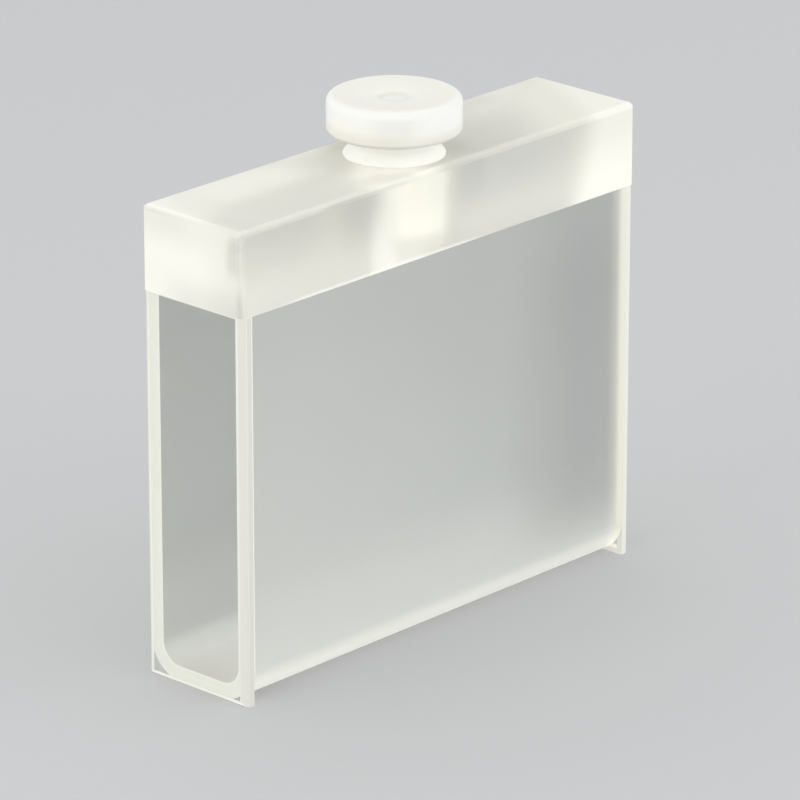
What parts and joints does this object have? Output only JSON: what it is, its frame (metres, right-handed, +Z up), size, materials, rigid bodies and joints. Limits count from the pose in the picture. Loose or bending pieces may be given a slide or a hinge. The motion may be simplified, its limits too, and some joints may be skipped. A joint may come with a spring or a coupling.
{
  "type": "stoppered cuvette",
  "caption": "Long-path quartz spectroscopy cell: rounded trough, clear end windows, thick top block and a tapered push-in stopper.",
  "frame": {"origin": "middle of the base, on the surface that the cell stands on", "axes": "+X along the light path from near_window to far_window, +Y across the cell, +Z up along the stopper's axis"},
  "size_m": [0.0524, 0.0126, 0.0505],
  "materials": {
    "satin_quartz": "finely ground, satin",
    "clear_quartz": "polished, with ground edges",
    "milky_quartz": "ground, milky",
    "white_polymer": "turned, smooth and waxy"
  },
  "bodies": {
    "root": {"trough": "satin_quartz", "near_window": "clear_quartz", "far_window": "clear_quartz", "top_block": "milky_quartz", "stopper": "white_polymer"}
  },
  "joints": []
}
